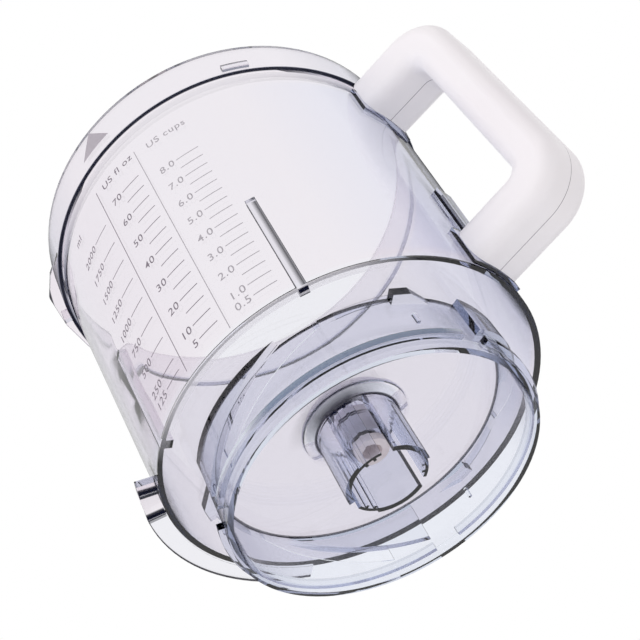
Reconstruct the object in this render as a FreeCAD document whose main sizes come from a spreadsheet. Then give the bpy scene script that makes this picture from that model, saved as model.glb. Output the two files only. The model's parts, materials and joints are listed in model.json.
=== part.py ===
import FreeCAD, Part
import os
import re
import Sketcher

# Food processor bowl, in millimetres, +Z up.
# The origin is on the bowl's axis, at the foot of the ring that sits in the power unit.
# The handle is along +X. The lid side of the bowl is up.

SIZES = {
    # ring under the floor, which drops over the power unit
    "ring_radius": 64.0,
    "ring_height": 30.0,
    "ring_wall": 2.4,
    "ring_step": 0.6,
    # wall of the bowl, as a cone that widens towards the lid
    "foot_radius": 81.3,
    "wall_lean": 5.9,
    "wall_height": 126.0,
    "wall": 2.4,
    "floor_wall": 2.4,
    # collar that the lid plugs into
    "collar_step": 2.6,
    "neck_height": 5.6,
    "collar_height": 19.8,
    "collar_wall": 2.3,
    # raised boss in the middle of the floor, with the hub under it
    "boss_radius": 20.5,
    "boss_height": 7.5,
    "hub_radius": 17.6,
    "hub_wall": 2.4,
    "hub_foot_gap": 0.6,
    "lobe_start": 320.0,
    "slot_sweep": 17.0,
    "panel_sweep": 35.0,
    "panel_step": 1.0,
    "spline_sweep": 5.0,
    "spline_depth": 1.3,
    # bush that the drive spindle runs in
    "bush_radius": 7.2,
    "bush_bore": 4.0,
    "bush_foot_z": 15.6,
    "bush_collar": 9.0,
    "bush_collar_height": 1.8,
    "bush_seat_wall": 2.2,
    "bush_seat_z": 19.0,
    "bush_clearance": 0.05,
    # bayonet tracks on the ring, three alike, each starting at track_start
    "track_start": 232.0,
    "track_reach": 2.3,
    "shelf_sweep": 110.0,
    "shelf_z": 4.9,
    "shelf_thick": 3.1,
    "ramp_sweep": 53.0,
    "ramp_z": 11.4,
    "ramp_rise": 18.6,
    "groove_delay": 16.0,
    "groove_sweep": 52.0,
    "groove_z": 8.6,
    "groove_width": 8.2,
    "groove_depth": 0.7,
    "cam_delay": 66.0,
    "cam_sweep": 28.0,
    "cam_reach": 1.5,
    "cam_thick": 3.6,
    "catch_delay": 93.0,
    "catch_sweep": 6.0,
    "catch_reach": 4.0,
    "catch_thick": 4.0,
    "catch_slope_sweep": 10.0,
    "nub_delay": 97.5,
    "nub_sweep": 1.2,
    "nub_reach": 0.7,
    "nub_z": 14.5,
    "nub_height": 4.7,
    # stirring ribs inside the wall
    "rib_angle": 240.0,
    "rib_step": 60.0,
    "rib_width": 4.0,
    "rib_depth": 3.0,
    "rib_height": 55.0,
    # lid catch on the collar, away from the handle
    "lid_lug_start": 195.0,
    "lid_lug_sweep": 45.0,
    "lid_lug_reach": 5.6,
    "lid_lug_lift": 0.3,
    "lid_lug_thick": 2.0,
    "lid_lug_height": 9.0,
    "web_sweep": 1.4,
    # small stop on the collar
    "stop_angle": 311.5,
    "stop_sweep": 7.5,
    "stop_reach": 1.6,
    "stop_height": 3.2,
    "stop_lift": 1.4,
    # shelf and latch box at the foot of the wall, away from the handle
    "foot_shelf_start": 150.0,
    "foot_shelf_sweep": 63.0,
    "foot_shelf_reach": 7.7,
    "foot_shelf_thick": 2.2,
    "foot_shelf_lift": 0.3,
    "latch_sweep": 11.0,
    "latch_height": 8.0,
    # handle, a loop in two halves that meet on the plane Y = 0
    "handle_width": 29.2,
    "handle_round": 7.0,
    "handle_shell": 3.0,
    "handle_reach": 51.9,
    "handle_lean": 1.2,
    "grip_depth": 18.6,
    "upper_arm_below_neck": 4.2,
    "upper_arm_drop": 3.2,
    "upper_arm_height": 22.2,
    "lower_arm_above_floor": 11.8,
    "lower_arm_height": 19.0,
    "handle_corner": 22.0,
    "handle_inner_corner": 5.0,
    "handle_gap": 0.25,
    "pad_thick": 1.6,
    "pad_margin": 0.8,
    "pad_sweep": 20.4,
    # tongues on the bowl that the handle halves clamp, and the screws through them
    "tongue_reach": 21.0,
    "tongue_height": 10.5,
    "tongue_thick": 5.0,
    "tongue_gap": 0.3,
    "screw_radius": 1.75,
    "screw_head_radius": 3.3,
    "screw_head_height": 2.4,
    "screw_recess": 2.0,
    "screw_length": 19.5,
    "screw_point": 2.0,
    "screw_clearance": 0.25,
    "thread_clearance": 0.05,
    "cross_width": 1.1,
    "cross_length": 3.6,
    "cross_depth": 1.4,
    "screw_inset": 10.0,
    "post_radius": 4.4,
    "spine_width": 9.0,
    "spine_reach": 2.2,
    "spine_top": 84.0,
    # places that follow from the sizes above
    "neck_radius": "=foot_radius + wall_lean",
    "neck_z": "=ring_height + wall_height",
    "collar_radius": "=neck_radius + collar_step",
    "collar_z": "=neck_z + neck_height",
    "rim_z": "=collar_z + collar_height",
    "wall_slope": "=wall_lean / wall_height",
    "floor_top": "=ring_height + floor_wall",
    "boss_top": "=floor_top + boss_height",
    "boss_round": "=boss_height * 0.45",
    "boss_foot_round": "=boss_height * 0.5",
    "handle_out": "=foot_radius + handle_reach",
    "upper_arm_z": "=neck_z - upper_arm_below_neck",
    "lower_arm_z": "=ring_height + lower_arm_above_floor",
    "screw_seat": "=handle_width / 2 - screw_recess - screw_head_height",
}

doc = FreeCAD.newDocument("bowl")
sheet = doc.addObject("Spreadsheet::Sheet", "sizes")
for row, (alias, size) in enumerate(SIZES.items(), start=1):
    sheet.set("A%d" % row, alias)
    sheet.set("B%d" % row, str(size))
    sheet.setAlias("B%d" % row, alias)
doc.recompute()


def bound(formula):
    """A formula in the sheet's names, written the way an expression needs it."""
    return re.sub(r"[a-z]\w*", lambda word: "sizes." + word[0] if word[0] in SIZES else word[0], formula)


def number(formula):
    """What a formula in the sheet's names comes to now."""
    found = sheet.evalExpression(re.sub(r"sizes\.", "", bound(formula)))
    return float(getattr(found, "Value", found))


def bind(thing, **sizes):
    """Tie properties of an object to formulas in the sheet's names."""
    for name, formula in sizes.items():
        thing.setExpression(name, bound(formula))


def origin_part(body, role):
    """One of the body's own planes or axes."""
    for feature in body.Origin.OriginFeatures:
        if feature.Role == role:
            return feature


def new_body(label):
    body = doc.addObject("PartDesign::Body", label)
    body.Label = label
    return body


def new_sketch(body, name, plane, turn=None, lift=None):
    """An empty sketch on an origin plane, turned about the bowl's axis and moved along its normal by formulas."""
    sketch = body.newObject("Sketcher::SketchObject", name)
    sketch.AttachmentSupport = (origin_part(body, plane), [""])
    sketch.MapMode = "FlatFace"
    if turn:
        bowl_axis = FreeCAD.Vector(0, 0, 1) if plane == "XY_Plane" else FreeCAD.Vector(0, 1, 0)
        sketch.AttachmentOffset = FreeCAD.Placement(FreeCAD.Vector(), FreeCAD.Rotation(bowl_axis, 1))
        sketch.setExpression(".AttachmentOffset.Rotation.Angle", "(%s) * 1 deg" % bound(turn))
    if lift:
        sketch.setExpression(".AttachmentOffset.Base.z", bound(lift))
    return sketch


def outline(body, name, corners, plane="XZ_Plane", turn=None, lift=None):
    """A closed outline whose corners are pairs of formulas."""
    sketch = new_sketch(body, name, plane, turn, lift)
    places = [FreeCAD.Vector(number(across), number(up), 0) for across, up in corners]
    count = len(places)
    for index in range(count):
        sketch.addGeometry(Part.LineSegment(places[index], places[(index + 1) % count]))
    for index in range(count):
        sketch.addConstraint(Sketcher.Constraint("Coincident", index, 2, (index + 1) % count, 1))
    for index, (across, up) in enumerate(corners):
        for kind, formula in (("DistanceX", across), ("DistanceY", up)):
            place = sketch.addConstraint(Sketcher.Constraint(kind, -1, 1, index, 1, number(formula)))
            sketch.setExpression("Constraints[%d]" % place, bound(formula))
    return sketch


def discs(body, name, centres, radius, plane="XZ_Plane", lift=None):
    """Circles of one radius, whose centres are pairs of formulas, on a plane moved along its normal."""
    sketch = new_sketch(body, name, plane, lift=lift)
    for index, (across, up) in enumerate(centres):
        centre = FreeCAD.Vector(number(across), number(up), 0)
        sketch.addGeometry(Part.Circle(centre, FreeCAD.Vector(0, 0, 1), number(radius)))
        for kind, formula in (("DistanceX", across), ("DistanceY", up)):
            place = sketch.addConstraint(Sketcher.Constraint(kind, -1, 1, index, 3, number(formula)))
            sketch.setExpression("Constraints[%d]" % place, bound(formula))
        place = sketch.addConstraint(Sketcher.Constraint("Radius", index, number(radius)))
        sketch.setExpression("Constraints[%d]" % place, bound(radius))
    return sketch


def turned(body, name, corners, start=None, sweep=None, cut=False):
    """An outline turned about the bowl's axis, all the way round or from start over sweep degrees."""
    sketch = outline(body, name + "_outline", corners, turn=start)
    feature = body.newObject("PartDesign::Groove" if cut else "PartDesign::Revolution", name)
    feature.Profile = sketch
    feature.ReferenceAxis = (sketch, ["V_Axis"])
    feature.Angle = 360
    if sweep:
        feature.setExpression("Angle", "(%s) * 1 deg" % bound(sweep))
    return feature


def thick(body, name, sketch, length, cut=False, reverse=False, both_ways=False):
    """A sketch made thick, or cut away, by a formula."""
    feature = body.newObject("PartDesign::Pocket" if cut else "PartDesign::Pad", name)
    feature.Profile = sketch
    feature.Type = "Length"
    feature.SideType = "Symmetric" if both_ways else "One side"
    feature.Reversed = reverse
    bind(feature, Length=length)
    return feature


def three_fold(body, name, features):
    """The features repeated three times round the axis."""
    doc.recompute()
    pattern = body.newObject("PartDesign::PolarPattern", name)
    pattern.Originals = features
    pattern.Axis = (origin_part(body, "Z_Axis"), [""])
    pattern.Angle = 360
    pattern.Occurrences = 3
    body.Tip = pattern
    doc.recompute()
    return pattern


def rounded(body, name, radius, chosen):
    """Fillet the edges of the last feature that a test picks out."""
    doc.recompute()
    base = body.Tip
    edges = ["Edge%d" % (index + 1) for index, edge in enumerate(base.Shape.Edges) if chosen(edge)]
    feature = body.newObject("PartDesign::Fillet", name)
    feature.Base = (base, edges)
    bind(feature, Radius=radius)
    doc.recompute()
    return feature


def ring_edge(radius, height):
    """A test for full or part circles about the axis at a radius and a height."""
    def chosen(edge):
        curve = edge.Curve
        if curve.TypeId != "Part::GeomCircle":
            return False
        near_radius = abs(curve.Radius - radius) < 0.01
        near_height = abs(edge.CenterOfMass.z - height) < 0.01
        return near_radius and near_height
    return chosen


def ring_blank(body):
    """The ring under the floor, still solid, with its plain foot."""
    turned(body, "ring_blank", [
        ("0", "0"),
        ("ring_radius", "0"),
        ("ring_radius", "shelf_z"),
        ("ring_radius - ring_step", "shelf_z"),
        ("ring_radius - ring_step", "ring_height"),
        ("0", "ring_height"),
    ])


def outside(body):
    """The outside form of floor, wall and collar, still solid."""
    turned(body, "outside", [
        ("0", "ring_height"),
        ("foot_radius", "ring_height"),
        ("neck_radius", "neck_z"),
        ("neck_radius", "collar_z"),
        ("collar_radius", "collar_z"),
        ("collar_radius", "rim_z"),
        ("0", "rim_z"),
    ])


def inside(body):
    """Hollow out the bowl above its floor and boss."""
    turned(body, "inside", [
        ("0", "boss_top"),
        ("boss_radius", "boss_top"),
        ("boss_radius", "floor_top"),
        ("foot_radius - wall + wall_slope * floor_wall", "floor_top"),
        ("neck_radius - wall", "neck_z"),
        ("neck_radius - wall", "collar_z"),
        ("collar_radius - collar_wall", "collar_z + floor_wall"),
        ("collar_radius - collar_wall", "rim_z + 1"),
        ("0", "rim_z + 1"),
    ], cut=True)
    rounded(body, "boss_shoulder", "boss_round", ring_edge(number("boss_radius"), number("boss_top")))
    rounded(body, "boss_foot", "boss_foot_round", ring_edge(number("boss_radius"), number("floor_top")))


def underside(body):
    """Hollow out the ring round the hub, the hub round its bush seat, and the bush seat."""
    seat = "bush_radius + bush_clearance"
    turned(body, "ring_cavity", [
        ("hub_radius", "-1"),
        ("ring_radius - ring_wall", "-1"),
        ("ring_radius - ring_wall", "ring_height"),
        ("hub_radius", "ring_height"),
    ], cut=True)
    turned(body, "hub_foot", [
        ("0", "-1"),
        ("hub_radius + 1", "-1"),
        ("hub_radius + 1", "hub_foot_gap"),
        ("0", "hub_foot_gap"),
    ], cut=True)
    turned(body, "hub_socket", [
        ("0", "-1"),
        ("hub_radius - hub_wall", "-1"),
        ("hub_radius - hub_wall", "ring_height + boss_height"),
        (seat + " + bush_seat_wall", "ring_height + boss_height"),
        (seat + " + bush_seat_wall", "bush_seat_z"),
        ("0", "bush_seat_z"),
    ], cut=True)
    turned(body, "bush_seat", [
        ("0", "bush_seat_z - 1"),
        (seat, "bush_seat_z - 1"),
        (seat, "boss_top + 1"),
        ("0", "boss_top + 1"),
    ], cut=True)


def hub_lobes(body):
    """Three slots through the hub, a thinner panel beside each, and splines inside the panels."""
    bore = "hub_radius - hub_wall"
    slot = turned(body, "hub_slot", [
        (bore + " - 1", "hub_foot_gap - 1"),
        ("hub_radius + 1", "hub_foot_gap - 1"),
        ("hub_radius + 1", "ring_height"),
        (bore + " - 1", "ring_height"),
    ], "lobe_start - slot_sweep", "slot_sweep", cut=True)
    three_fold(body, "hub_slots", [slot])
    panel = turned(body, "hub_panel", [
        ("hub_radius - panel_step", "hub_foot_gap - 1"),
        ("hub_radius + 1", "hub_foot_gap - 1"),
        ("hub_radius + 1", "ring_height"),
        ("hub_radius - panel_step", "ring_height"),
    ], "lobe_start - slot_sweep - panel_sweep", "panel_sweep", cut=True)
    three_fold(body, "hub_panels", [panel])
    for order, share in (("first", "1 / 3"), ("second", "3 / 4")):
        spline = turned(body, "hub_spline_" + order, [
            (bore + " - spline_depth", "hub_foot_gap"),
            (bore + " + panel_step / 2", "hub_foot_gap"),
            (bore + " + panel_step / 2", "ring_height"),
            (bore + " - spline_depth", "ring_height"),
        ], "lobe_start - slot_sweep - panel_sweep * %s - spline_sweep / 2" % share, "spline_sweep")
        three_fold(body, "hub_splines_" + order, [spline])


def block(body, name, start, sweep, inner, outer, low, high):
    """A block on a turned surface, between two radii and two heights."""
    corners = [(inner, low), (outer, low), (outer, high), (inner, high)]
    return turned(body, name, corners, start, sweep)


def helix(body, name, corners, start, sweep, rise, cut=False, growth=None):
    """An outline carried round the axis from start over sweep degrees, rising or growing outwards."""
    profile = outline(body, name + "_outline", corners, turn=start)
    feature = body.newObject("PartDesign::SubtractiveHelix" if cut else "PartDesign::AdditiveHelix", name)
    feature.Profile = profile
    feature.ReferenceAxis = (profile, ["V_Axis"])
    if growth:
        feature.Mode = "height-turns-growth"
        bind(feature, Height="0", Turns="(%s) / 360" % sweep, Growth="(%s) * 360 / (%s)" % (growth, sweep))
    else:
        feature.Mode = "pitch-height-angle"
        bind(feature, Pitch="%s * 360 / %s" % (rise, sweep), Height=rise)
    return feature


def ramps_and_grooves(body):
    """Three helical ramps round the ring, and the shallow groove under each."""
    inner = "ring_radius - ring_wall / 2"
    reach = "ring_radius + track_reach"
    ramp = helix(body, "ramp", [
        (inner, "ramp_z"),
        (reach, "ramp_z"),
        (reach, "ramp_z + ramp_rise + floor_wall / 2"),
        (inner, "ramp_z + ramp_rise + floor_wall / 2"),
    ], "track_start", "ramp_sweep", "ramp_rise")
    three_fold(body, "ramps", [ramp])
    groove = helix(body, "groove", [
        ("ring_radius - ring_step - groove_depth", "groove_z"),
        (reach, "groove_z"),
        (reach, "groove_z + groove_width"),
        ("ring_radius - ring_step - groove_depth", "groove_z + groove_width"),
    ], "track_start + groove_delay", "groove_sweep", "ramp_rise * groove_sweep / ramp_sweep", cut=True)
    three_fold(body, "grooves", [groove])


def around(radius, sweep):
    """Formulas of the point at a radius, sweep degrees round from the sketch's own X axis."""
    return ("(%s) * cos((%s) * 1 deg)" % (radius, sweep), "(%s) * sin((%s) * 1 deg)" % (radius, sweep))


def ring_locks(body):
    """What stops the bowl on the power unit, three of each: shelf, cam, sloping catch and nub."""
    inner = "ring_radius - ring_wall / 2"
    reach = "ring_radius + track_reach"
    in_floor = "ring_height + floor_wall / 2"
    shelf = block(body, "shelf", "track_start", "shelf_sweep", inner, reach, "shelf_z", "shelf_z + shelf_thick")
    three_fold(body, "shelves", [shelf])
    cam = helix(body, "cam", [
        (inner, "ring_height - cam_thick"),
        ("ring_radius - ring_step - groove_depth / 2", "ring_height - cam_thick"),
        ("ring_radius - ring_step - groove_depth / 2", in_floor),
        (inner, in_floor),
    ], "track_start + cam_delay", "cam_sweep", "0", growth="cam_reach + groove_depth")
    three_fold(body, "cams", [cam])
    catch_outline = outline(body, "catch_outline", [
        (inner, "0"),
        ("ring_radius + catch_reach", "0"),
        around("ring_radius + catch_reach", "catch_sweep"),
        around(inner, "catch_sweep + catch_slope_sweep"),
    ], "XY_Plane", "track_start + catch_delay", "ring_height - catch_thick")
    catch = thick(body, "catch", catch_outline, "catch_thick + floor_wall / 2")
    three_fold(body, "catches", [catch])
    nub = block(body, "nub", "track_start + nub_delay", "nub_sweep", inner, "ring_radius + nub_reach",
                "nub_z", "nub_z + nub_height")
    three_fold(body, "nubs", [nub])


def wall_ribs(body):
    """Two upright ribs inside the wall."""
    inside_foot = "foot_radius - wall"
    for index in (0, 1):
        corners = [
            (inside_foot + " - rib_depth", "ring_height + floor_wall / 2"),
            (inside_foot + " + wall / 2", "ring_height + floor_wall / 2"),
            (inside_foot + " + wall / 2 + wall_slope * rib_height", "ring_height + rib_height"),
            (inside_foot + " - rib_depth + wall_slope * rib_height", "ring_height + rib_height"),
        ]
        name = "rib_%d" % (index + 1)
        sketch = outline(body, name + "_outline", corners, turn="rib_angle + rib_step * %d" % index)
        thick(body, name, sketch, "rib_width", both_ways=True)


def lid_catches(body):
    """The catch that holds the lid, and a small stop beside the arrow, both outside the collar."""
    inner = "collar_radius - collar_wall / 2"
    low = "collar_z + lid_lug_lift"
    lug_outline = outline(body, "lid_lug_outline", [
        (inner, "0"),
        around("collar_radius + lid_lug_reach * 0.2", "lid_lug_sweep * 0.1"),
        around("collar_radius + lid_lug_reach * 0.6", "lid_lug_sweep * 0.36"),
        around("collar_radius + lid_lug_reach", "lid_lug_sweep * 0.6"),
        around("collar_radius + lid_lug_reach * 0.6", "lid_lug_sweep * 0.78"),
        around(inner, "lid_lug_sweep"),
    ], "XY_Plane", "lid_lug_start", low)
    thick(body, "lid_lug", lug_outline, "lid_lug_thick")
    block(body, "lid_lug_web", "lid_lug_start + lid_lug_sweep * 0.36", "web_sweep", inner,
          "collar_radius + lid_lug_reach * 0.6", low, low + " + lid_lug_height")
    block(body, "collar_stop", "stop_angle", "stop_sweep", inner, "collar_radius + stop_reach",
          "collar_z + stop_lift", "collar_z + stop_lift + stop_height")


def foot_latch(body):
    """The shelf at the foot of the wall, and the latch box at its end, open below."""
    inner = "foot_radius - wall / 2"
    outer = "foot_radius + foot_shelf_reach"
    latch = "foot_shelf_start + foot_shelf_sweep"
    low = "ring_height + foot_shelf_lift"
    top = "ring_height + latch_height"
    block(body, "foot_shelf", "foot_shelf_start", "foot_shelf_sweep", inner, outer, low, low + " + foot_shelf_thick")
    block(body, "latch_roof", latch, "latch_sweep", inner, outer, top + " - foot_shelf_thick", top)
    block(body, "latch_near_side", latch, "web_sweep", inner, outer, low, top)
    block(body, "latch_far_side", latch + " + latch_sweep - web_sweep", "web_sweep", inner, outer, low, top)


def handle_arms():
    """Corner formulas of the handle's side view, from the wall outwards and back."""
    drop = "upper_arm_drop"
    upper_top = "upper_arm_z + upper_arm_height / 2"
    upper_under = "upper_arm_z - upper_arm_height / 2"
    lower_top = "lower_arm_z + lower_arm_height / 2"
    lower_under = "lower_arm_z - lower_arm_height / 2"
    return [
        ("foot_radius - 2", upper_top),
        ("handle_out", upper_top + " - " + drop),
        ("handle_out - handle_lean", lower_under),
        ("foot_radius - 6", lower_under),
        ("foot_radius - 6", lower_top),
        ("handle_out - handle_lean - grip_depth", lower_top),
        ("handle_out - grip_depth", upper_under + " - " + drop + " * 0.7"),
        ("foot_radius - 2", upper_under),
    ]


def screw_places():
    """Side-view places of the screws: one in each arm and one in the grip."""
    upper = ("neck_radius + tongue_reach - screw_inset", "upper_arm_z - upper_arm_drop * 0.4")
    lower = ("foot_radius + tongue_reach - screw_inset", "lower_arm_z")
    grip = ("handle_out - handle_lean / 2 - grip_depth / 2", "(upper_arm_z + lower_arm_z) / 2")
    return [upper, lower, grip]


def handle_pads(body):
    """Two raised pads on the wall that the ends of the handle's arms stand on."""
    for name, middle, height, top in (
            ("upper_pad", "upper_arm_z", "upper_arm_height", "neck_z - pad_margin / 2"),
            ("lower_pad", "lower_arm_z", "lower_arm_height", "lower_arm_z + lower_arm_height / 2 + pad_margin")):
        low = "%s - %s / 2 - pad_margin" % (middle, height)
        corners = [
            ("foot_radius - wall / 2 + wall_slope * (%s - ring_height)" % low, low),
            ("foot_radius + pad_thick + wall_slope * (%s - ring_height)" % low, low),
            ("foot_radius + pad_thick + wall_slope * (%s - ring_height)" % top, top),
            ("foot_radius - wall / 2 + wall_slope * (%s - ring_height)" % top, top),
        ]
        turned(body, name, corners, "-pad_sweep / 2", "pad_sweep")


def tongues(body):
    """Two tongues for the handle, with screw holes, and the spine above the lower one."""
    for name, root, middle in (("upper_tongue", "neck_radius", "upper_arm_z - upper_arm_drop * 0.4"),
                               ("lower_tongue", "foot_radius", "lower_arm_z")):
        corners = [
            (root + " - wall * 0.6", middle + " - tongue_height / 2"),
            (root + " + tongue_reach", middle + " - tongue_height / 2"),
            (root + " + tongue_reach", middle + " + tongue_height / 2"),
            (root + " - wall * 0.6", middle + " + tongue_height / 2"),
        ]
        thick(body, name, outline(body, name + "_outline", corners), "tongue_thick", both_ways=True)
    low = "lower_arm_z + lower_arm_height / 2 + handle_gap"
    spine = [
        ("foot_radius - wall / 2 + wall_slope * (%s - ring_height)" % low, low),
        ("foot_radius + spine_reach + wall_slope * (%s - ring_height)" % low, low),
        ("foot_radius + spine_reach + wall_slope * (spine_top - ring_height)", "spine_top"),
        ("foot_radius - wall / 2 + wall_slope * (spine_top - ring_height)", "spine_top"),
    ]
    thick(body, "spine", outline(body, "spine_outline", spine), "spine_width", both_ways=True)
    holes = discs(body, "tongue_hole_circles", screw_places()[:2], "screw_radius + screw_clearance")
    thick(body, "tongue_holes", holes, "tongue_thick * 2", cut=True, both_ways=True)


def make_bowl():
    body = new_body("bowl_moulding")
    ring_blank(body)
    ramps_and_grooves(body)
    outside(body)
    ring_locks(body)
    lid_catches(body)
    foot_latch(body)
    handle_pads(body)
    tongues(body)
    inside(body)
    wall_ribs(body)
    underside(body)
    hub_lobes(body)
    return body


def cavity(corners):
    """The handle's side view drawn in by the shell, cut short at the rounded outer corners, open by the wall."""
    def moved(index, across, up):
        return ("%s %s" % (corners[index][0], across), "%s %s" % (corners[index][1], up))
    return [
        moved(0, "- 3", "- handle_shell"),
        moved(1, "- handle_corner", "- handle_shell"),
        moved(1, "- handle_lean / 2 - handle_shell", "- handle_corner"),
        moved(2, "- handle_shell", "+ handle_corner"),
        moved(2, "- handle_corner", "+ handle_shell"),
        moved(3, "- 3", "+ handle_shell"),
        moved(4, "- 3", "- handle_shell"),
        moved(5, "+ handle_shell", "- handle_shell"),
        moved(6, "+ handle_shell", "+ handle_shell"),
        moved(7, "- 3", "+ handle_shell"),
    ]


def upright_edges(places):
    """A test for straight edges along Y that pass through side-view places."""
    def chosen(edge):
        if edge.Curve.TypeId != "Part::GeomLine" or abs(edge.tangentAt(edge.FirstParameter).y) < 0.99:
            return False
        middle = edge.CenterOfMass
        return any(abs(middle.x - across) < 0.05 and abs(middle.z - up) < 0.05 for across, up in places)
    return chosen


def make_handle_half(label, side):
    """One half of the handle; side is -1 for the half at -Y and 1 for the half at +Y."""
    body = new_body(label)
    at_plus_y = side > 0
    corners = handle_arms()
    thick(body, label + "_block", outline(body, label + "_side", corners), "handle_width / 2", reverse=at_plus_y)
    places = [(number(across), number(up)) for across, up in corners]
    rounded(body, label + "_outer_corners", "handle_corner", upright_edges(places[1:3]))
    rounded(body, label + "_inner_corners", "handle_inner_corner", upright_edges(places[5:7]))
    face_y = side * number("handle_width / 2")
    wall_end = number("foot_radius - 1.9")
    rounded(body, label + "_softened", "handle_round",
            lambda edge: abs(edge.CenterOfMass.y - face_y) < 0.01 and edge.BoundBox.XMax > wall_end)
    hollow = outline(body, label + "_cavity_side", cavity(corners))
    thick(body, label + "_cavity", hollow, "handle_width / 2 - handle_shell", cut=True, reverse=not at_plus_y)
    posts = discs(body, label + "_post_circles", screw_places(), "post_radius")
    thick(body, label + "_posts", posts, "handle_width / 2 - handle_shell / 2", reverse=at_plus_y)
    tongue_room = discs(body, label + "_tongue_room_circles", screw_places()[:2], "post_radius + tongue_gap")
    thick(body, label + "_tongue_room", tongue_room, "tongue_thick / 2 + tongue_gap", cut=True,
          reverse=not at_plus_y)
    wall_room(body, label)
    if at_plus_y:
        through = discs(body, label + "_screw_circles", screw_places(), "screw_radius + screw_clearance")
        thick(body, label + "_screw_holes", through, "handle_width", cut=True)
        heads = discs(body, label + "_head_circles", screw_places(), "screw_head_radius + screw_clearance",
                      lift="-screw_seat")
        thick(body, label + "_head_recesses", heads, "handle_width / 2", cut=True)
    else:
        pilot = discs(body, label + "_pilot_circles", screw_places(), "screw_radius + thread_clearance")
        thick(body, label + "_pilot_holes", pilot, "screw_length - screw_seat + 1", cut=True, reverse=True)
    return body


def wall_room(body, label):
    """Cut the ends of the arms to the pads on the bowl's wall, with a small gap."""
    turned(body, label + "_wall_room", [
        ("foot_radius / 2", "0"),
        ("foot_radius + pad_thick + handle_gap - wall_slope * ring_height", "0"),
        ("neck_radius + pad_thick + handle_gap", "neck_z"),
        ("collar_radius + handle_gap", "collar_z"),
        ("collar_radius + handle_gap", "rim_z + 5"),
        ("foot_radius / 2", "rim_z + 5"),
    ], cut=True)


def make_bush():
    """The bush in the hub that the drive spindle runs in."""
    body = new_body("spindle_bush")
    top = "boss_top + bush_collar_height"
    turned(body, "bush", [
        ("bush_bore", "bush_foot_z"),
        ("bush_radius", "bush_foot_z"),
        ("bush_radius", "boss_top"),
        ("bush_collar", "boss_top"),
        ("bush_collar", top),
        ("bush_bore", top),
    ])
    return body


def make_screw(label, place):
    """A handle screw: pan head at +Y, plain shank with a pointed end, cross slot."""
    body = new_body(label)
    across, up = place
    seat = "screw_seat"
    profile = outline(body, label + "_outline", [
        (across, seat + " - screw_length"),
        (across + " + screw_radius", seat + " - screw_length + screw_point"),
        (across + " + screw_radius", seat),
        (across + " + screw_head_radius", seat),
        (across + " + screw_head_radius", seat + " + screw_head_height * 0.55"),
        (across + " + screw_head_radius * 0.6", seat + " + screw_head_height"),
        (across, seat + " + screw_head_height"),
    ], plane="XY_Plane")
    profile.setExpression(".AttachmentOffset.Base.z", bound(up))
    feature = body.newObject("PartDesign::Revolution", label + "_turned")
    feature.Profile = profile
    feature.ReferenceAxis = (profile, ["Edge7"])
    feature.Angle = 360
    for name, wide, tall in (("cross_slot_flat", "cross_length", "cross_width"),
                             ("cross_slot_upright", "cross_width", "cross_length")):
        slot = outline(body, "%s_%s_outline" % (label, name), [
            ("%s - %s / 2" % (across, wide), "%s - %s / 2" % (up, tall)),
            ("%s + %s / 2" % (across, wide), "%s - %s / 2" % (up, tall)),
            ("%s + %s / 2" % (across, wide), "%s + %s / 2" % (up, tall)),
            ("%s - %s / 2" % (across, wide), "%s + %s / 2" % (up, tall)),
        ])
        slot.setExpression(".AttachmentOffset.Base.z", bound("-(screw_seat + screw_head_height - cross_depth)"))
        thick(body, "%s_%s" % (label, name), slot, "cross_depth + 1", cut=True)
    return body


bodies = [make_bowl(), make_handle_half("handle_half_left", -1), make_handle_half("handle_half_right", 1), make_bush()]
for name, place in zip(("upper", "lower", "grip"), screw_places()):
    bodies.append(make_screw("handle_screw_" + name, place))
doc.recompute()
for thing in doc.Objects:
    if "Invalid" in thing.State or "Error" in thing.State:
        raise RuntimeError("%s is %s" % (thing.Name, thing.State))
os.makedirs("parts", exist_ok=True)
for body in bodies:
    if body.Shape.isNull() or not body.Shape.isValid():
        raise RuntimeError("%s has no valid shape" % body.Label)
    body.Shape.exportStep("parts/%s.step" % body.Label)
    box = body.Shape.BoundBox
    print(body.Label, "volume %.0f" % body.Shape.Volume, "solids", len(body.Shape.Solids), box)
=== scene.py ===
import json
import math

import bmesh
import bpy
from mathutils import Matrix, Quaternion, Vector


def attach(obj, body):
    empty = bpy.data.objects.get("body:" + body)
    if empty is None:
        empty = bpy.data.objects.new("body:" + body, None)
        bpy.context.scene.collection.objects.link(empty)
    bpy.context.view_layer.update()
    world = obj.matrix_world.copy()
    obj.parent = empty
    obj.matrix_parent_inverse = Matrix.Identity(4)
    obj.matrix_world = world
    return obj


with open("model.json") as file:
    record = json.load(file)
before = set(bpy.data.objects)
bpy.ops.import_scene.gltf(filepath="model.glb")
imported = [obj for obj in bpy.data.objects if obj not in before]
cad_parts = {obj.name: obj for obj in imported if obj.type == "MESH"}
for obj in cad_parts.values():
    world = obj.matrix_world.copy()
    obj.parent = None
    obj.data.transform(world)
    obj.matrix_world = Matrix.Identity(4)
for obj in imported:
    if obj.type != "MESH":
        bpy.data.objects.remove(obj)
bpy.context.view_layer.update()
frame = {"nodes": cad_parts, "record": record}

# Where the photograph was taken from, in metres: under the bowl, on the side left of its handle.
CAMERA_PLACE = Vector((0.1488, -0.3307, -0.2682))
CAMERA_AIM = Vector((0.00856, 0.00359, 0.09179))
CAMERA_ROLL = math.radians(31.5)
SENSOR = 36.0
LENS = 66.8

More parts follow.
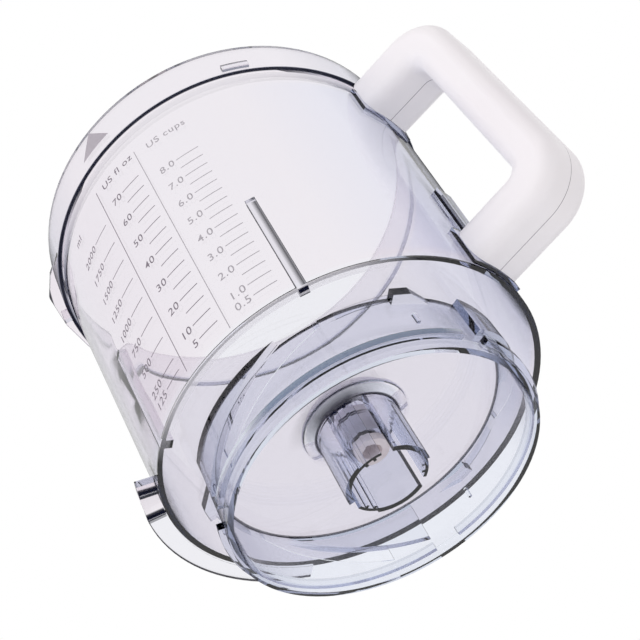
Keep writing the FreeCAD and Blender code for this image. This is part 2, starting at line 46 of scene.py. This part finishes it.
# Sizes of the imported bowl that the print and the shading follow.
FOOT_RADIUS = 0.0813
NECK_RADIUS = 0.0872
COLLAR_RADIUS = 0.0898
INSIDE_RADIUS = 0.0789
SHELF_RADIUS = 0.0890
RING_INSIDE = 0.0616
FOOT_Z = 0.030
FLOOR_TOP = 0.0324
SHELF_TOP = 0.0325
NECK_Z = 0.156
COLLAR_Z = 0.1616
RIM_Z = 0.1814
WALL_SLOPE = (NECK_RADIUS - FOOT_RADIUS) / (NECK_Z - FOOT_Z)


def wall_radius(z):
    """Outside radius of the wall or the collar at a height."""
    if z > COLLAR_Z:
        return COLLAR_RADIUS
    return FOOT_RADIUS + WALL_SLOPE * (z - FOOT_Z)


# Camera

def make_camera():
    camera = bpy.data.objects.new("camera", bpy.data.cameras.new("camera"))
    bpy.context.scene.collection.objects.link(camera)
    camera.data.sensor_width = SENSOR
    camera.data.lens = LENS
    camera.data.clip_start = 0.01
    camera.data.clip_end = 20
    camera.location = CAMERA_PLACE
    facing = (CAMERA_AIM - CAMERA_PLACE).to_track_quat("-Z", "Y")
    camera.rotation_mode = "QUATERNION"
    camera.rotation_quaternion = facing @ Quaternion((0, 0, 1), -CAMERA_ROLL)
    bpy.context.scene.camera = camera


# Materials

class Shader:
    """A short way to write a material's nodes and links."""

    def __init__(self, name):
        self.material = bpy.data.materials.new(name)
        self.material.use_nodes = True
        self.tree = self.material.node_tree
        self.tree.nodes.clear()
        self.output = self.tree.nodes.new("ShaderNodeOutputMaterial")

    def node(self, kind, **inputs):
        made = self.tree.nodes.new(kind)
        for name, value in inputs.items():
            socket = made.inputs[name.replace("_", " ")]
            if hasattr(value, "links"):
                self.tree.links.new(value, socket)
            else:
                socket.default_value = value
        return made

    def link(self, start, end):
        self.tree.links.new(start, end)


def surface_noise(shader, scale, detail=4.0):
    """Noise that follows the object's own coordinates."""
    place = shader.node("ShaderNodeTexCoord")
    noise = shader.node("ShaderNodeTexNoise", Scale=scale, Detail=detail)
    shader.link(place.outputs["Object"], noise.inputs["Vector"])
    return noise


def ramp_between(shader, value, low, high, low_at=0.35, high_at=0.65):
    """Turn a noise value into a number or colour between two ends."""
    ramp = shader.node("ShaderNodeValToRGB")
    ramp.color_ramp.elements[0].position = low_at
    ramp.color_ramp.elements[0].color = low
    ramp.color_ramp.elements[1].position = high_at
    ramp.color_ramp.elements[1].color = high
    shader.link(value, ramp.inputs["Fac"])
    return ramp.outputs["Color"]


def grey(value):
    return (value, value, value, 1)


# Colours of the clear plastic: its walls and its deep parts, painted shade for its ring, its side by the
# handle, its turned-away surfaces, its dark edges and its shelf band, and painted light for its foot.
WALL_TINT = (0.925, 0.88, 0.91, 1)
WARM_TINT = (0.89, 0.83, 0.87, 1)
FLOOR_TINT = (0.93, 0.92, 0.945, 1)
# Painted shade: a bluer, darker tint on the ring under the floor.
RING_SHADE_COLOUR = (0.88, 0.90, 0.955, 1)
# Painted shade: a bluer, darker tint on the wall by the handle.
SIDE_SHADE_COLOUR = (0.84, 0.83, 0.915, 1)
# Painted shade: dark blue where the surface turns side-on to the view.
TURNED_SHADE_COLOUR = (0.20, 0.22, 0.36, 1)
# Painted shade: near-black for rims and for dark lines along edges.
EDGE_SHADE_COLOUR = (0.006, 0.007, 0.020, 1)
# Painted shade: navy on the outer face of the track shelf.
SHELF_SHADE_COLOUR = (0.10, 0.15, 0.24, 1)
LIT_TINT = (0.86, 0.84, 0.89, 1)
THIN_TINT = (0.95, 0.935, 0.96, 1)
PASSING_TINT = (0.93, 0.935, 0.95, 1)
DEPTH_TINT = (0.30, 0.38, 0.56, 1)


def reckon(shader, operation, first, second=0.0):
    """A sum on one or two values or sockets."""
    result = shader.node("ShaderNodeMath")
    result.operation = operation
    for place, value in enumerate((first, second)):
        if hasattr(value, "links"):
            shader.link(value, result.inputs[place])
        else:
            result.inputs[place].default_value = value
    return result.outputs[0]


def within(shader, value, low, high, soft):
    """One between two limits, fading to nothing over a soft edge."""
    rise = shader.node("ShaderNodeMapRange")
    rise.inputs["From Min"].default_value = low - soft
    rise.inputs["From Max"].default_value = low + soft
    shader.link(value, rise.inputs["Value"])
    fall = shader.node("ShaderNodeMapRange")
    fall.inputs["From Min"].default_value = high + soft
    fall.inputs["From Max"].default_value = high - soft
    shader.link(value, fall.inputs["Value"])
    return reckon(shader, "MULTIPLY", rise.outputs["Result"], fall.outputs["Result"])


def all_of(shader, *values):
    product = values[0]
    for value in values[1:]:
        product = reckon(shader, "MULTIPLY", product, value)
    return product


def any_of(shader, *values):
    largest = values[0]
    for value in values[1:]:
        largest = reckon(shader, "MAXIMUM", largest, value)
    return largest


class Places:
    """The object's own coordinates as sockets: x, y, z, distance from the axis and angle round it."""

    def __init__(self, shader):
        self.shader = shader
        coordinates = shader.node("ShaderNodeTexCoord")
        split = shader.node("ShaderNodeSeparateXYZ")
        shader.link(coordinates.outputs["Object"], split.inputs[0])
        self.x, self.y, self.z = split.outputs[0], split.outputs[1], split.outputs[2]
        squares = reckon(shader, "ADD", reckon(shader, "MULTIPLY", self.x, self.x),
                         reckon(shader, "MULTIPLY", self.y, self.y))
        self.radius = reckon(shader, "SQRT", squares)
        self.angle = reckon(shader, "ARCTAN2", self.y, self.x)

    def turned(self, degrees):
        """How far out a point is along a direction round the axis, and how far across it."""
        cos, sin = math.cos(math.radians(degrees)), math.sin(math.radians(degrees))
        out = reckon(self.shader, "ADD", reckon(self.shader, "MULTIPLY", self.x, cos),
                     reckon(self.shader, "MULTIPLY", self.y, sin))
        across = reckon(self.shader, "SUBTRACT", reckon(self.shader, "MULTIPLY", self.y, cos),
                        reckon(self.shader, "MULTIPLY", self.x, sin))
        return out, across


def share(shader, value, strength):
    return reckon(shader, "MULTIPLY", value, strength)


def other_than(shader, value):
    """One where a value is nothing, and nothing where it is one."""
    return reckon(shader, "SUBTRACT", 1.0, value)


def zone(shader, places, arc=None, radii=None, heights=None):
    """One inside a region of the bowl; each limit is low, high and soft edge, angles in degrees."""
    limits = []
    if arc:
        limits.append(within(shader, places.angle, *[math.radians(value) for value in arc]))
    if radii:
        limits.append(within(shader, places.radius, *radii))
    if heights:
        limits.append(within(shader, places.z, *heights))
    return all_of(shader, *limits)


# Soft edges of the regions, in metres
HAIR = 0.00003
CRISP = 0.0001
SOFT = 0.0002
WIDE = 0.0003
BROAD = 0.002

# Regions of the bowl that look different: each limit is low, high and soft edge, angles in degrees
WALL_HEIGHTS = (0.036, 0.154, BROAD)
WARM_HEIGHTS = (0.036, 0.19, BROAD)
RING_HEIGHTS = (-0.01, 0.0296, SOFT)
FLOOR_HEIGHTS = (0.0296, 0.0329, SOFT)
UNDERSIDE = (FOOT_Z - 7 * CRISP, FOOT_Z + SOFT, CRISP)
WARM_ARC = (-150, -92, 14)
# Where the wall by the handle gets painted shade.
SIDE_SHADE_SPAN = (-32, 60, 16)
LEFT_ARC = (-178, -104, 8)
NEAR_FOOT_ARC = (-108, -30, 5)
NEAR_RIM_ARC = (-178, 5, 6)
FAR_LEDGE_ARC = (34, 158, 3)
LIT_FOOT_ARC = (-116, -38, 10)
PAD_ARC = (-12.5, -8, 0.5)
CATCH_ARC = (-170, -110, 2)
LATCH_ARCS = ((-147.2, -145.4, 0.06), (-137.6, -135.8, 0.06))
NO_SHELF_ARC = (-135, 149, 0.5)
SHELF_BAND_ARC = (-92, -20, 6)
HAZE_ARC = (-122, -36, 22)
HAZE_START = 0.0180
HAZE_END = 0.0300

# Ribs inside the wall
NEAR_RIB = -60
FAR_RIB = -120
RIB_FRONT = 0.0759
RIB_DEPTH = 0.0030
RIB_HALF = 0.0020
RIB_TOP = 0.085
RIB_SIDE = 0.00004
RIB_SHADE = 0.0009


def rib_places(shader, places, degrees):
    """How far out, how far across and how far behind its front a point of a rib is."""
    out, across = places.turned(degrees)
    lean = share(shader, reckon(shader, "SUBTRACT", places.z, FOOT_Z), WALL_SLOPE)
    depth = reckon(shader, "SUBTRACT", reckon(shader, "SUBTRACT", out, lean), RIB_FRONT)
    return out, across, depth


def rib_edges(shader, places):
    """Painted shade: dark edges of the two ribs inside the wall, and a dark foot of the one that faces the
    camera.
    """
    out, across, depth = rib_places(shader, places, NEAR_RIB)
    off_middle = reckon(shader, "ABSOLUTE", across)
    side = all_of(shader, within(shader, off_middle, RIB_HALF - RIB_SIDE, RIB_HALF + RIB_SIDE, RIB_SIDE / 2),
                  within(shader, depth, -5 * CRISP, RIB_DEPTH - SOFT, CRISP))
    front = within(shader, depth, -SOFT, SOFT, SOFT / 4)
    left = within(shader, across, -RIB_HALF - SOFT, -RIB_HALF + 2 * SOFT, CRISP)
    right = within(shader, across, RIB_HALF / 4, RIB_HALF + SOFT, RIB_SHADE)
    near_rib = any_of(shader, side, all_of(shader, front, any_of(shader, left, right)))
    foot = all_of(shader, within(shader, off_middle, -RIB_HALF, RIB_HALF - CRISP, CRISP),
                  within(shader, out, INSIDE_RADIUS - CRISP, FOOT_RADIUS - 2 * SOFT, SOFT),
                  zone(shader, places, heights=(FOOT_Z - 3 * CRISP, FOOT_Z + 3 * SOFT, CRISP)))
    out, across, depth = rib_places(shader, places, FAR_RIB)
    root = all_of(shader, within(shader, across, -RIB_HALF - RIB_SIDE, -RIB_HALF + RIB_SIDE, RIB_SIDE / 2),
                  within(shader, depth, 0.6 * RIB_DEPTH, RIB_DEPTH, CRISP))
    tall = zone(shader, places, heights=(FLOOR_TOP + SOFT, RIB_TOP - 2 * SOFT, SOFT))
    return any_of(shader, all_of(shader, tall, any_of(shader, near_rib, root)), foot)


def collar_ledge(shader, places):
    """Painted shade: a dark line on the flat ledge under the collar, on the near side only."""
    ledge = zone(shader, places, radii=(0.0881, 0.0896, SOFT),
                 heights=(COLLAR_Z - CRISP, COLLAR_Z + CRISP, HAIR))
    return all_of(shader, other_than(shader, zone(shader, places, arc=FAR_LEDGE_ARC)), ledge)


def collar_top(shader, places):
    """Painted shade on the top of the rim on the near side, and on the outer end of the lid catch."""
    rim = zone(shader, places, arc=NEAR_RIM_ARC, heights=(RIM_Z - 3 * CRISP, 0.19, CRISP))
    catch = zone(shader, places, arc=CATCH_ARC, radii=(0.0944, 0.1, SOFT), heights=(0.155, 0.19, SOFT))
    return any_of(shader, share(shader, rim, 0.4), share(shader, catch, 0.75))


def latch_sides(shader, places):
    """Painted shade: dark lines on the lower edges of the latch box at the foot, and on the outer edge of the
    shelf beside it.
    """
    arcs = any_of(shader, *[zone(shader, places, arc=arc) for arc in LATCH_ARCS])
    sides = zone(shader, places, radii=(0.0816, SHELF_RADIUS + 5 * CRISP, SOFT),
                 heights=(FOOT_Z + SOFT, 0.0330, 2 * SOFT))
    edge = zone(shader, places, radii=(SHELF_RADIUS - SOFT, SHELF_RADIUS + SOFT, CRISP),
                heights=(FOOT_Z, SHELF_TOP + SOFT, SOFT))
    beside = other_than(shader, zone(shader, places, arc=NO_SHELF_ARC))
    return any_of(shader, all_of(shader, arcs, sides), all_of(shader, beside, edge))


def hub_shadow(shader, places):
    """The lines where the hub and the ring stand on the floor, and the dark haze of the boss behind the hub."""
    line = zone(shader, places, radii=(0.0170, 0.0184, WIDE))
    corner = zone(shader, places, radii=(RING_INSIDE - 4 * SOFT, RING_INSIDE + SOFT, SOFT))
    haze = shader.node("ShaderNodeMapRange")
    haze.inputs["From Min"].default_value = HAZE_END
    haze.inputs["From Max"].default_value = HAZE_START
    shader.link(places.radius, haze.inputs["Value"])
    behind = all_of(shader, haze.outputs["Result"], zone(shader, places, arc=HAZE_ARC))
    shades = any_of(shader, share(shader, line, 0.9), share(shader, corner, 0.75), share(shader, behind, 0.92))
    return all_of(shader, zone(shader, places, heights=UNDERSIDE), shades)


def boss_skin(shader, places):
    """The surfaces of the boss on the upper side of the floor."""
    return zone(shader, places, radii=(0.0078, 0.0249, CRISP), heights=(0.0330, 0.0405, CRISP))


def calm_places(shader, places):
    """Where the painted edge and turned-away shade is paler: the wall's left, the foot's near edge, the far
    ledge, the boss, pads and hub.
    """
    wall = zone(shader, places, arc=LEFT_ARC, heights=WALL_HEIGHTS)
    foot = zone(shader, places, arc=NEAR_FOOT_ARC, radii=(0.0785, 0.0900, WIDE), heights=(0.0296, 0.0345, WIDE))
    inside = zone(shader, places, radii=(0.0042, 0.0153, CRISP), heights=(0.0006, 0.0305, WIDE))
    ledge = zone(shader, places, arc=FAR_LEDGE_ARC, radii=(0.0850, 0.0900, SOFT),
                 heights=(0.1590, 0.1630, SOFT))
    pads = zone(shader, places, arc=PAD_ARC, heights=(0.0330, 0.0530, 0.001))
    return any_of(shader, share(shader, wall, 0.7), share(shader, foot, 0.55), share(shader, inside, 0.6),
                  share(shader, ledge, 0.9), share(shader, pads, 0.5),
                  share(shader, boss_skin(shader, places), 0.95))


def shelf_band(shader, places):
    """Painted navy shade on the outer face of the track shelf on the side with the scales."""
    return zone(shader, places, arc=SHELF_BAND_ARC, radii=(0.0655, 0.0675, SOFT),
                heights=(0.0050, 0.0079, SOFT))


def lit_foot(shader, places):
    """The foot of the wall under the scales, where the light comes down through the wall."""
    return zone(shader, places, arc=LIT_FOOT_ARC, radii=(INSIDE_RADIUS - 0.0012, FOOT_RADIUS + 2 * SOFT, SOFT),
                heights=(FOOT_Z - CRISP, FOOT_Z + 7 * CRISP, HAIR))


def blend(shader, amount, first, second):
    """Mix two surfaces, with the second one where the amount is one."""
    mix = shader.node("ShaderNodeMixShader", Fac=amount)
    shader.link(first.outputs[0], mix.inputs[1])
    shader.link(second.outputs[0], mix.inputs[2])
    return mix


def tinted(shader, amount, first, second):
    """Mix two colours, with the second one where the amount is one."""
    return shader.node("ShaderNodeMixRGB", Fac=amount, Color1=first, Color2=second).outputs["Color"]


def plastic_tint(shader, places, facing, lively):
    """The clear plastic's colour by place, with painted shade on the ring and on the side by the handle, and
    darker painted shade where the surface turns away.
    """
    ring = zone(shader, places, heights=RING_HEIGHTS)
    tint = tinted(shader, ring, WALL_TINT, RING_SHADE_COLOUR)
    tint = tinted(shader, zone(shader, places, heights=FLOOR_HEIGHTS), tint, FLOOR_TINT)
    tint = tinted(shader, zone(shader, places, arc=WARM_ARC, heights=WARM_HEIGHTS), tint, WARM_TINT)
    tint = tinted(shader, zone(shader, places, arc=SIDE_SHADE_SPAN, heights=WALL_HEIGHTS), tint, SIDE_SHADE_COLOUR)
    # Painted shade: dark blue where the surface turns side-on, stronger on the ring and weaker in the calm
    # places.
    turned_away = ramp_between(shader, facing, grey(0.0), grey(1.0), 0.60, 0.97)
    ring_turned = ramp_between(shader, facing, grey(0.0), grey(0.8), 0.42, 0.90)
    turned_away = any_of(shader, turned_away, all_of(shader, ring, ring_turned))
    return tinted(shader, reckon(shader, "MULTIPLY", turned_away, lively), tint, TURNED_SHADE_COLOUR)


def clear_plastic():
    """Clear moulded plastic, darker blue where light runs a long way inside it, with painted shade on its
    turned-away surfaces, edges, ribs, ledge, latch, hub and shelf band, and painted light on the foot under the
    scales.
    """
    shader = Shader("clear_plastic")
    places = Places(shader)
    facing = shader.node("ShaderNodeLayerWeight", Blend=0.5).outputs["Facing"]
    lively = other_than(shader, calm_places(shader, places))
    band = shelf_band(shader, places)

    glass = shader.node("ShaderNodeBsdfPrincipled", IOR=1.49, Transmission_Weight=1.0)
    shader.link(plastic_tint(shader, places, facing, lively), glass.inputs["Base Color"])
    ripple = surface_noise(shader, 60.0, 2.0)
    bump = shader.node("ShaderNodeBump", Strength=0.02, Distance=0.0005, Height=ripple.outputs["Fac"])
    shader.link(bump.outputs["Normal"], glass.inputs["Normal"])
    haze = surface_noise(shader, 220.0)
    shader.link(ramp_between(shader, haze.outputs["Fac"], grey(0.0), grey(0.03)), glass.inputs["Roughness"])

    # Painted shade: a near-black rim where the surface turns side-on, and dark lines along ribs, ledge, latch,
    # rim top and hub.
    rim = ramp_between(shader, facing, grey(0.0), grey(0.985), 0.80, 0.98)
    rim = reckon(shader, "MULTIPLY", rim, lively)
    lines = any_of(shader, rib_edges(shader, places), collar_ledge(shader, places), latch_sides(shader, places))
    dim = any_of(shader, rim, share(shader, lines, 0.94), share(shader, band, 0.75),
                 collar_top(shader, places), hub_shadow(shader, places))
    # Painted shade: near-black for the rims and lines, navy for the shelf band.
    dark = shader.node("ShaderNodeBsdfDiffuse", Color=EDGE_SHADE_COLOUR)
    shelf_shade = shader.node("ShaderNodeBsdfDiffuse", Color=SHELF_SHADE_COLOUR)
    edged = blend(shader, dim, glass, blend(shader, band, dark, shelf_shade))

    pale = shader.node("ShaderNodeBsdfDiffuse", Color=LIT_TINT)
    lit = all_of(shader, share(shader, lit_foot(shader, places), 0.6), other_than(shader, lines))
    thin = shader.node("ShaderNodeBsdfTransparent", Color=THIN_TINT)
    skin = blend(shader, share(shader, boss_skin(shader, places), 0.9), blend(shader, lit, edged, pale), thin)

    path = shader.node("ShaderNodeLightPath")
    lighting = any_of(shader, path.outputs["Is Shadow Ray"], path.outputs["Is Diffuse Ray"])
    clear = shader.node("ShaderNodeBsdfTransparent", Color=PASSING_TINT)
    surface = blend(shader, lighting, skin, clear)
    shader.link(surface.outputs[0], shader.output.inputs["Surface"])
    depth = shader.node("ShaderNodeVolumeAbsorption", Color=DEPTH_TINT, Density=42.0)
    shader.link(depth.outputs[0], shader.output.inputs["Volume"])
    return shader.material


SEAM_HALF = 0.00014


def handle_plastic():
    """White moulded plastic with a soft gloss and a very fine moulded grain."""
    shader = Shader("handle_plastic")
    body = shader.node("ShaderNodeBsdfPrincipled", IOR=1.5)
    cloud = surface_noise(shader, 18.0, 2.0)
    tone = ramp_between(shader, cloud.outputs["Fac"], (0.88, 0.845, 0.865, 1), (0.89, 0.86, 0.875, 1))
    seam = within(shader, Places(shader).y, -SEAM_HALF, SEAM_HALF, 0.00004)
    joined = shader.node("ShaderNodeMixRGB", Fac=seam, Color1=tone, Color2=(0.2, 0.17, 0.2, 1))
    shader.link(joined.outputs["Color"], body.inputs["Base Color"])
    gloss = surface_noise(shader, 300.0)
    shader.link(ramp_between(shader, gloss.outputs["Fac"], grey(0.34), grey(0.42)), body.inputs["Roughness"])
    grain = surface_noise(shader, 1400.0, 2.0)
    bump = shader.node("ShaderNodeBump", Strength=0.02, Distance=0.0001, Height=grain.outputs["Fac"])
    shader.link(bump.outputs["Normal"], body.inputs["Normal"])
    shader.link(body.outputs[0], shader.output.inputs["Surface"])
    return shader.material


def bush_plastic():
    """Pale bearing plastic, matt and slightly pink."""
    shader = Shader("bush_plastic")
    body = shader.node("ShaderNodeBsdfPrincipled", IOR=1.48)
    cloud = surface_noise(shader, 160.0)
    tone = ramp_between(shader, cloud.outputs["Fac"], (0.78, 0.68, 0.69, 1), (0.86, 0.78, 0.78, 1))
    shader.link(tone, body.inputs["Base Color"])
    shader.link(ramp_between(shader, cloud.outputs["Fac"], grey(0.45), grey(0.6)), body.inputs["Roughness"])
    grain = surface_noise(shader, 2500.0, 2.0)
    bump = shader.node("ShaderNodeBump", Strength=0.1, Distance=0.0002, Height=grain.outputs["Fac"])
    shader.link(bump.outputs["Normal"], body.inputs["Normal"])
    shader.link(body.outputs[0], shader.output.inputs["Surface"])
    return shader.material


def screw_steel():
    """Zinc plated steel, turned, with fine tool marks."""
    shader = Shader("screw_steel")
    body = shader.node("ShaderNodeBsdfPrincipled", Metallic=1.0, IOR=1.45)
    cloud = surface_noise(shader, 900.0)
    tone = ramp_between(shader, cloud.outputs["Fac"], (0.5, 0.5, 0.52, 1), (0.66, 0.66, 0.68, 1))
    shader.link(tone, body.inputs["Base Color"])
    shader.link(ramp_between(shader, cloud.outputs["Fac"], grey(0.22), grey(0.42)), body.inputs["Roughness"])
    bump = shader.node("ShaderNodeBump", Strength=0.1, Distance=0.0002, Height=cloud.outputs["Fac"])
    shader.link(bump.outputs["Normal"], body.inputs["Normal"])
    shader.link(body.outputs[0], shader.output.inputs["Surface"])
    return shader.material


def print_ink(name, thin, full):
    """Grey printing ink, a little thin in places."""
    shader = Shader(name)
    body = shader.node("ShaderNodeBsdfPrincipled", IOR=1.5)
    cloud = surface_noise(shader, 700.0)
    tone = ramp_between(shader, cloud.outputs["Fac"], full, thin, 0.3, 0.7)
    shader.link(tone, body.inputs["Base Color"])
    shader.link(ramp_between(shader, cloud.outputs["Fac"], grey(0.5), grey(0.7)), body.inputs["Roughness"])
    shader.link(body.outputs[0], shader.output.inputs["Surface"])
    return shader.material


def dress_frame():
    """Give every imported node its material."""
    looks = {
        "clear_plastic": clear_plastic(),
        "handle_plastic": handle_plastic(),
        "bush_plastic": bush_plastic(),
        "screw_steel": screw_steel(),
    }
    for part in frame["record"]["subparts"]:
        node = frame["nodes"][part["node"]]
        for slot in node.material_slots:
            slot.material = looks[part["material_slot"]]


# Print on the wall: the scales, their numbers and the arrow on the collar

PRINT_LIFT = 0.00004
STROKE = 0.00042
RULE_STROKE = 0.00036


def on_wall(around, z, lift=PRINT_LIFT):
    """A point on the outside of the wall, from its angle in degrees and its height."""
    angle = math.radians(around)
    radius = wall_radius(z) + lift
    return Vector((radius * math.cos(angle), radius * math.sin(angle), z))


class Print:
    """Flat ink shapes collected into one mesh that hugs the wall."""

    def __init__(self, name):
        self.name = name
        self.mesh = bmesh.new()

    def patch(self, corners, steps=6):
        """A four-cornered patch, given as pairs of angle and height, cut finely enough to bend."""
        first, second, third, fourth = corners
        rows = []
        for index in range(steps + 1):
            share = index / steps
            low = [a + (b - a) * share for a, b in zip(first, second)]
            high = [a + (b - a) * share for a, b in zip(fourth, third)]
            rows.append((self.mesh.verts.new(on_wall(*low)), self.mesh.verts.new(on_wall(*high))))
        for before, after in zip(rows, rows[1:]):
            self.mesh.faces.new((before[0], after[0], after[1], before[1]))

    def tick(self, start, end, z, stroke=STROKE):
        low, high = z - stroke / 2, z + stroke / 2
        self.patch([(start, low), (end, low), (end, high), (start, high)])

    def rule(self, around, low, high, stroke=RULE_STROKE):
        """An upright line."""
        half = math.degrees(stroke / FOOT_RADIUS) / 2
        steps = 8
        for index in range(steps):
            bottom = low + (high - low) * index / steps
            top = low + (high - low) * (index + 1) / steps
            left, right = around - half, around + half
            self.patch([(left, bottom), (right, bottom), (right, top), (left, top)], 1)

    def words(self, text, around, z, size, align="RIGHT"):
        """Plain lettering with its base line at z, ending or starting at an angle."""
        curve = bpy.data.curves.new("lettering", "FONT")
        curve.body = text
        curve.size = size
        curve.align_x = align
        curve.offset = size * 0.006
        curve.space_character = 1.12
        lettering = bpy.data.objects.new("lettering", curve)
        bpy.context.scene.collection.objects.link(lettering)
        bpy.context.view_layer.update()
        flat = bpy.data.meshes.new_from_object(lettering)
        bpy.data.objects.remove(lettering)
        bpy.data.curves.remove(curve)
        placed = [on_wall(around + math.degrees(v.co.x / wall_radius(z)), z + v.co.y) for v in flat.vertices]
        verts = [self.mesh.verts.new(place) for place in placed]
        for face in flat.polygons:
            try:
                self.mesh.faces.new([verts[index] for index in face.vertices])
            except ValueError:
                continue
        bpy.data.meshes.remove(flat)

    def finish(self, ink):
        data = bpy.data.meshes.new(self.name)
        self.mesh.to_mesh(data)
        self.mesh.free()
        data.materials.append(ink)
        made = bpy.data.objects.new(self.name, data)
        bpy.context.scene.collection.objects.link(made)
        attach(made, "root")
        return made


NUMBER_SIZE = 0.0052
NUMBER_DROP = 0.0018
LABEL_GAP = 0.7


# The scales: angles round the axis in degrees, heights above the floor in units of the bowl's radius
SCALE_UNIT = 0.0824
SCALE_FOOT = 0.0302
MILLILITRE_TICKS = (254.3, 261.1)
MILLILITRE_HEADING = (246.5, 1.38)
OUNCE_TICKS = (270.8, 277.4)
OUNCE_HEADING = (265.8, 1.40)
CUP_TICKS = (288.5, 295.4)
CUP_HEADING = (283.2, 1.37)
LEFT_RULE = (263.1, 0.05, 1.45)
RIGHT_RULE = (279.4, 0.03, 1.43)


def above_floor(units):
    return SCALE_FOOT + units * SCALE_UNIT


def scale_column(name, ink, ticks, span, heading, heading_place):
    """One column of ticks; ticks holds pairs of height and label."""
    column = Print(name)
    start, end = span
    for z, label in ticks:
        column.tick(start, end, z)
        if label:
            column.words(label, start - LABEL_GAP, z - NUMBER_DROP, NUMBER_SIZE)
    around, height = heading_place
    column.words(heading, around, above_floor(height), NUMBER_SIZE, "LEFT")
    column.finish(ink)


def make_rule(name, ink, place):
    """An upright rule between two columns."""
    around, low, high = place
    rules = Print(name)
    rules.rule(around, above_floor(low), above_floor(high))
    rules.finish(ink)


def make_scales(ink, faint_ink):
    """Millilitres, fluid ounces and cups, with two upright rules between them."""
    litres = [(above_floor(0.103 + (ml - 125) / 1875 * 1.112), str(ml))
              for ml in (125, *range(250, 2001, 250))]
    scale_column("print_millilitres", ink, litres, MILLILITRE_TICKS, "ml", MILLILITRE_HEADING)
    ounces = [(above_floor(0.118 + (oz - 5) / 65 * 1.142), str(oz) if oz % 10 == 0 or oz == 5 else "")
              for oz in range(5, 71, 5)]
    scale_column("print_fluid_ounces", ink, ounces, OUNCE_TICKS, "US fl oz", OUNCE_HEADING)
    cups = [(above_floor(0.10 + (half - 1) / 15 * 1.06),
             "%.1f" % (half / 2) if half % 2 == 0 or half == 1 else "")
            for half in range(1, 17)]
    scale_column("print_cups", faint_ink, cups, CUP_TICKS, "US cups", CUP_HEADING)
    make_rule("print_rule_left", ink, LEFT_RULE)
    make_rule("print_rule_right", faint_ink, RIGHT_RULE)


def make_arrow(ink):
    """The arrow on the collar that shows where the lid locks."""
    arrow = Print("print_arrow")
    base_z, top_z, left, right = 0.1678, 0.1800, 265.0, 276.0
    tip = (left + right) / 2
    steps = 8
    for index in range(steps):
        low, high = index / steps, (index + 1) / steps
        z_low, z_high = base_z + (top_z - base_z) * low, base_z + (top_z - base_z) * high
        arrow.patch([
            (left + (tip - left) * low, z_low),
            (right + (tip - right) * low, z_low),
            (right + (tip - right) * high, z_high),
            (left + (tip - left) * high, z_high),
        ])
    arrow.finish(ink)


# Stage and light

def make_floor():
    """A pale floor at the bowl's foot that can't be seen from below and lets light through."""
    bpy.ops.mesh.primitive_plane_add(size=6, location=(0, 0, -0.0002))
    floor = bpy.context.active_object
    floor.name = "floor"
    shader = Shader("floor")
    matt = shader.node("ShaderNodeBsdfDiffuse", Color=(0.9, 0.9, 0.9, 1))
    white = shader.node("ShaderNodeEmission", Color=(1, 1, 1, 1), Strength=1.0)
    gone = shader.node("ShaderNodeBsdfTransparent")
    path = shader.node("ShaderNodeLightPath")
    side = shader.node("ShaderNodeNewGeometry")
    unseen = any_of(shader, side.outputs["Backfacing"], path.outputs["Is Shadow Ray"])
    seen = any_of(shader, path.outputs["Is Camera Ray"], path.outputs["Is Glossy Ray"],
                  path.outputs["Is Transmission Ray"])
    pale = blend(shader, any_of(shader, share(shader, seen, 0.72), 0.35), matt, white)
    surface = blend(shader, unseen, pale, gone)
    shader.link(surface.outputs[0], shader.output.inputs["Surface"])
    floor.data.materials.append(shader.material)


def make_world():
    """White where it is seen, softer where it only lights."""
    world = bpy.data.worlds.new("studio")
    world.use_nodes = True
    bpy.context.scene.world = world
    tree = world.node_tree
    tree.nodes.clear()
    output = tree.nodes.new("ShaderNodeOutputWorld")
    seen = tree.nodes.new("ShaderNodeBackground")
    seen.inputs["Color"].default_value = (1, 1, 1, 1)
    light = tree.nodes.new("ShaderNodeBackground")
    light.inputs["Color"].default_value = (1.0, 0.965, 0.985, 1)
    light.inputs["Strength"].default_value = 0.53
    path = tree.nodes.new("ShaderNodeLightPath")
    mix = tree.nodes.new("ShaderNodeMixShader")
    seen_by = path.outputs["Is Camera Ray"]
    for other in ("Is Glossy Ray", "Is Transmission Ray"):
        either = tree.nodes.new("ShaderNodeMath")
        either.operation = "MAXIMUM"
        tree.links.new(seen_by, either.inputs[0])
        tree.links.new(path.outputs[other], either.inputs[1])
        seen_by = either.outputs[0]
    tree.links.new(seen_by, mix.inputs["Fac"])
    tree.links.new(light.outputs[0], mix.inputs[1])
    tree.links.new(seen.outputs[0], mix.inputs[2])
    tree.links.new(mix.outputs[0], output.inputs["Surface"])


def make_lamp(name, place, size, power, aim=Vector((0.02, 0, 0.09))):
    data = bpy.data.lights.new(name, "AREA")
    data.shape = "DISK"
    data.size = size
    data.energy = power
    lamp = bpy.data.objects.new(name, data)
    lamp.location = place
    lamp.visible_glossy = False
    lamp.visible_transmission = False
    lamp.rotation_euler = (aim - Vector(place)).to_track_quat("-Z", "Y").to_euler()
    bpy.context.scene.collection.objects.link(lamp)


def make_lamps():
    make_lamp("key", (-0.8, -1.0, 0.7), 0.9, 9)
    make_lamp("fill", (1.1, -0.5, 0.6), 0.9, 2.5)
    make_lamp("back", (0.2, 1.1, 0.9), 0.9, 3)
    make_lamp("under", (-0.7, -0.9, -0.5), 0.9, 4)


make_camera()
dress_frame()
INK = print_ink("print_ink", (0.2, 0.17, 0.2, 1), (0.14, 0.12, 0.15, 1))
FAINT_INK = print_ink("print_ink_faint", (0.42, 0.40, 0.43, 1), (0.33, 0.31, 0.34, 1))
ARROW_INK = print_ink("print_ink_arrow", (0.4, 0.37, 0.41, 1), (0.35, 0.32, 0.36, 1))
make_scales(INK, FAINT_INK)
make_arrow(ARROW_INK)
make_floor()
make_world()
make_lamps()
bpy.context.scene.view_settings.view_transform = "Standard"
